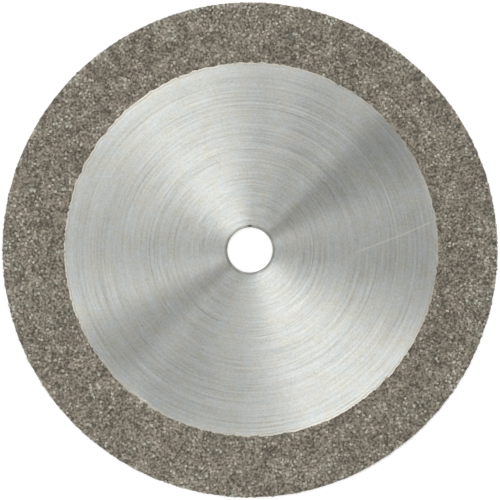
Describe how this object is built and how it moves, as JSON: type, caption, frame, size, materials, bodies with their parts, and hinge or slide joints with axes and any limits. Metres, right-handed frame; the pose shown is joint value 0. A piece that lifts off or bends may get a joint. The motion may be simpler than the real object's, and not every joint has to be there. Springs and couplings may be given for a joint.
{
  "type": "cutting disc",
  "caption": "Thin double-sided diamond cutting disc for a rotary tool: a brushed steel disc with a small central bore, and a wide plated grit band that wraps its rim on both faces.",
  "frame": {"origin": "centre of the bore, midway between the disc's two faces", "axes": "+Z along the bore, out of the face that lies up; X and Y lie in the disc's plane, which is round, so they have no feature of their own"},
  "size_m": [0.022, 0.022, 0.0006],
  "materials": {
    "steel": "satin",
    "diamond_grit": "matte"
  },
  "bodies": {
    "root": {"steel_blank": "steel", "grit_rim": "diamond_grit"}
  },
  "joints": []
}
